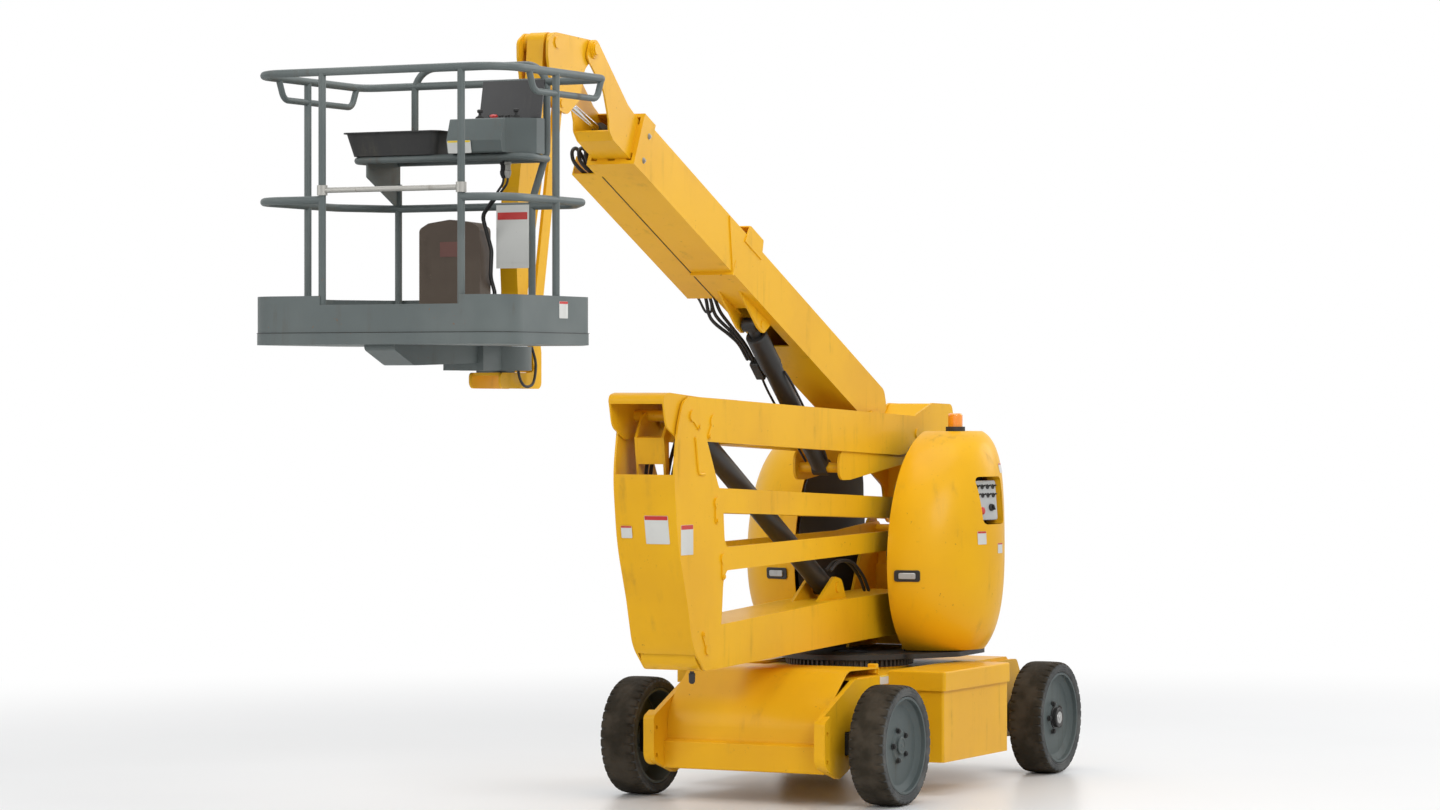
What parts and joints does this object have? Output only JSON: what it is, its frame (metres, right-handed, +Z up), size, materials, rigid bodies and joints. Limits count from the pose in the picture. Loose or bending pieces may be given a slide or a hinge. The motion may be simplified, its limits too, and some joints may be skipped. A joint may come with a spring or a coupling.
{
  "type": "articulating boom lift",
  "caption": "Electric articulating boom lift with a double parallelogram riser, telescopic boom, jib, turning basket, slewing turntable and steered front wheels.",
  "frame": {"origin": "on the floor under the slewing axis, midway between the axles", "axes": "+X towards the steered front axle, +Y to the machine's left, +Z up"},
  "size_m": [5.6735, 1.47, 3.4389],
  "materials": {
    "body_yellow": "gloss",
    "basket_grey": "satin",
    "wheel_grey": "satin",
    "black_steel": "satin",
    "ring_steel": "satin",
    "rod_chrome": "polished",
    "tyre_rubber": "matte",
    "black_plastic": "matte",
    "box_brown": "matte",
    "sign_white": "satin",
    "amber_lens": "gloss"
  },
  "bodies": {
    "chassis": {"chassis_frame": "body_yellow", "nose_cover": "body_yellow", "front_axle": "black_steel", "rear_axle": "black_steel", "slew_ring": "ring_steel"},
    "battery_left": {"battery_box_left": "body_yellow", "battery_lid_left": "body_yellow"},
    "battery_right": {"battery_box_right": "body_yellow", "battery_lid_right": "body_yellow"},
    "knuckle_left": {"knuckle_left": "black_steel"},
    "knuckle_right": {"knuckle_right": "black_steel"},
    "wheel_front_left": {"rim_front_left": "wheel_grey", "tyre_front_left": "tyre_rubber"},
    "wheel_front_right": {"rim_front_right": "wheel_grey", "tyre_front_right": "tyre_rubber"},
    "wheel_rear_left": {"rim_rear_left": "wheel_grey", "tyre_rear_left": "tyre_rubber"},
    "wheel_rear_right": {"rim_rear_right": "wheel_grey", "tyre_rear_right": "tyre_rubber"},
    "turntable": {"turntable_base": "black_steel", "turntable_mast": "body_yellow", "counterweight": "body_yellow", "hood_panel_left": "black_plastic", "hood_panel_right": "black_plastic", "control_panel": "black_plastic"},
    "hood_left": {"hood_left": "body_yellow", "beacon": "black_plastic", "beacon_lens": "amber_lens"},
    "hood_right": {"hood_right": "body_yellow"},
    "lower_arm": {"lower_arm": "body_yellow"},
    "lower_tie": {"lower_tie": "body_yellow"},
    "knee": {"knee": "body_yellow"},
    "upper_arm": {"upper_arm": "body_yellow"},
    "upper_tie": {"upper_tie": "body_yellow"},
    "upper_mast": {"upper_mast": "body_yellow"},
    "riser_barrel": {"riser_barrel": "black_steel"},
    "riser_rod": {"riser_rod": "rod_chrome"},
    "lift_barrel": {"lift_barrel": "black_steel"},
    "lift_rod": {"lift_rod": "rod_chrome"},
    "boom": {"boom_outer": "body_yellow", "cable_tray": "body_yellow"},
    "fly": {"boom_fly": "body_yellow"},
    "slave_barrel": {"slave_barrel": "black_steel"},
    "slave_rod": {"slave_rod": "rod_chrome"},
    "jib_head": {"jib_head": "body_yellow"},
    "jib_arm": {"jib_arm": "body_yellow"},
    "jib_tie": {"jib_tie": "body_yellow"},
    "bracket": {"platform_bracket": "body_yellow"},
    "basket": {"rotator": "basket_grey", "basket_floor": "basket_grey", "basket_rails": "basket_grey", "console": "basket_grey", "tool_tray": "black_plastic", "document_box": "box_brown", "console_cover": "black_plastic", "rail_sign": "sign_white", "control_cables": "black_plastic"},
    "entry_bar": {"entry_bar": "rod_chrome"}
  },
  "joints": [
    {"name": "steer_left", "type": "hinge", "parent": "chassis", "child": "knuckle_left", "pos_m": [0.94, 0.575, 0.2795], "axis": [0, 0, 1], "range_deg": [-23, 23]},
    {"name": "steer_right", "type": "hinge", "parent": "chassis", "child": "knuckle_right", "pos_m": [0.94, -0.575, 0.2795], "axis": [0, 0, 1], "range_deg": [-24, 24]},
    {"name": "spin_front_left", "type": "hinge", "parent": "knuckle_left", "child": "wheel_front_left", "pos_m": [0.94, 0.646, 0.2795], "axis": [0, 1, 0], "continuous": true},
    {"name": "spin_front_right", "type": "hinge", "parent": "knuckle_right", "child": "wheel_front_right", "pos_m": [0.94, -0.646, 0.2795], "axis": [0, 1, 0], "continuous": true},
    {"name": "spin_rear_left", "type": "hinge", "parent": "chassis", "child": "wheel_rear_left", "pos_m": [-0.94, 0.646, 0.2795], "axis": [0, 1, 0], "continuous": true},
    {"name": "spin_rear_right", "type": "hinge", "parent": "chassis", "child": "wheel_rear_right", "pos_m": [-0.94, -0.646, 0.2795], "axis": [0, 1, 0], "continuous": true},
    {"name": "slew", "type": "hinge", "parent": "chassis", "child": "turntable", "pos_m": [0, 0, 0.6], "axis": [0, 0, 1], "range_deg": [-177.5, 177.5]},
    {"name": "battery_left_swing", "type": "hinge", "parent": "chassis", "child": "battery_left", "pos_m": [-0.342, 0.432, 0.335], "axis": [0, 0, 1], "range_deg": [0, 90]},
    {"name": "hood_left_hinge", "type": "hinge", "parent": "turntable", "child": "hood_left", "pos_m": [-0.722, 0.262, 1.18], "axis": [0, 0, 1], "range_deg": [0, 100]},
    {"name": "battery_right_swing", "type": "hinge", "parent": "chassis", "child": "battery_right", "pos_m": [-0.342, -0.432, 0.335], "axis": [0, 0, -1], "range_deg": [0, 90]},
    {"name": "hood_right_hinge", "type": "hinge", "parent": "turntable", "child": "hood_right", "pos_m": [-0.722, -0.262, 1.18], "axis": [0, 0, -1], "range_deg": [0, 100]},
    {"name": "riser", "type": "hinge", "parent": "turntable", "child": "lower_arm", "pos_m": [-0.45, 0, 0.822], "axis": [0, -1, 0], "range_deg": [0, 65]},
    {"name": "knee_turn", "type": "hinge", "parent": "lower_arm", "child": "knee", "pos_m": [1.833, 0, 0.757], "axis": [0, -1, 0], "range_deg": [-66, 1]},
    {"name": "lower_tie_turn", "type": "hinge", "parent": "turntable", "child": "lower_tie", "pos_m": [-0.604, 0, 1.224], "axis": [0, -1, 0], "range_deg": [-1, 66]},
    {"name": "upper_arm_turn", "type": "hinge", "parent": "knee", "child": "upper_arm", "pos_m": [1.985, 0, 1.808], "axis": [0, -1, 0], "range_deg": [-66, 1]},
    {"name": "upper_tie_turn", "type": "hinge", "parent": "knee", "child": "upper_tie", "pos_m": [1.744, 0, 1.414], "axis": [0, -1, 0], "range_deg": [-66, 1]},
    {"name": "upper_mast_turn", "type": "hinge", "parent": "upper_arm", "child": "upper_mast", "pos_m": [-0.5, 0, 1.706], "axis": [0, -1, 0], "range_deg": [-1, 66]},
    {"name": "riser_barrel_turn", "type": "hinge", "parent": "lower_arm", "child": "riser_barrel", "pos_m": [0.295, 0, 0.973], "axis": [0, -1, 0], "range_deg": [-23, 1]},
    {"name": "riser_rod_slide", "type": "slide", "parent": "riser_barrel", "child": "riser_rod", "axis": [0.8731, 0, 0.4876], "range_m": [-0.001, 1.12]},
    {"name": "luff", "type": "hinge", "parent": "upper_mast", "child": "boom", "pos_m": [-0.06, 0, 1.765], "axis": [0, -1, 0], "range_deg": [-19, 49]},
    {"name": "lift_barrel_turn", "type": "hinge", "parent": "upper_mast", "child": "lift_barrel", "pos_m": [0.32, 0, 1.55], "axis": [0, -1, 0], "range_deg": [-24, 55]},
    {"name": "lift_rod_slide", "type": "slide", "parent": "lift_barrel", "child": "lift_rod", "axis": [0.7479, 0, 0.6638], "range_m": [-0.19, 0.45]},
    {"name": "telescope", "type": "slide", "parent": "boom", "child": "fly", "axis": [0.9041, 0, 0.4274], "range_m": [0, 1.2]},
    {"name": "level", "type": "hinge", "parent": "fly", "child": "jib_head", "pos_m": [2.78009, 0, 3.38735], "axis": [0, -1, 0], "range_deg": [-50, 20]},
    {"name": "slave_barrel_turn", "type": "hinge", "parent": "fly", "child": "slave_barrel", "pos_m": [2.16602, 0, 2.90572], "axis": [0, -1, 0], "range_deg": [-3, 3]},
    {"name": "slave_rod_slide", "type": "slide", "parent": "slave_barrel", "child": "slave_rod", "axis": [0.9384, 0, 0.3454], "range_m": [-0.215, 0.09]},
    {"name": "jib", "type": "hinge", "parent": "jib_head", "child": "jib_arm", "pos_m": [3.082, 0, 3.395], "axis": [0, -1, 0], "range_deg": [0, 130]},
    {"name": "jib_tie_turn", "type": "hinge", "parent": "jib_head", "child": "jib_tie", "pos_m": [3.037, 0, 3.14], "axis": [0, -1, 0], "range_deg": [-1, 131]},
    {"name": "bracket_turn", "type": "hinge", "parent": "jib_arm", "child": "bracket", "pos_m": [3.31, 0, 2.27], "axis": [0, -1, 0], "range_deg": [-131, 1]},
    {"name": "basket_turn", "type": "hinge", "parent": "bracket", "child": "basket", "pos_m": [3.47, 0, 2], "axis": [0, 0, 1], "range_deg": [-90, 90]},
    {"name": "entry_bar_lift", "type": "slide", "parent": "basket", "child": "entry_bar", "axis": [0, 0, 1], "range_m": [0, 0.25]}
  ],
  "couplings": [
    {"joint": "steer_right", "follows": "steer_left", "ratio": 1},
    {"joint": "knee_turn", "follows": "riser", "ratio": -1},
    {"joint": "lower_tie_turn", "follows": "riser", "ratio": 1},
    {"joint": "upper_arm_turn", "follows": "riser", "ratio": -1},
    {"joint": "upper_tie_turn", "follows": "riser", "ratio": -1},
    {"joint": "upper_mast_turn", "follows": "riser", "ratio": 1},
    {"joint": "riser_barrel_turn", "follows": "riser", "ratio": -0.325},
    {"joint": "riser_rod_slide", "follows": "riser", "m_per_rad": 0.945},
    {"joint": "lift_barrel_turn", "follows": "luff", "ratio": 1.005},
    {"joint": "lift_rod_slide", "follows": "luff", "m_per_rad": 0.483},
    {"joint": "level", "follows": "luff", "ratio": -1},
    {"joint": "slave_barrel_turn", "follows": "luff", "ratio": -0.025},
    {"joint": "slave_rod_slide", "follows": "luff", "m_per_rad": -0.24},
    {"joint": "jib_tie_turn", "follows": "jib", "ratio": 1},
    {"joint": "bracket_turn", "follows": "jib", "ratio": -1}
  ]
}
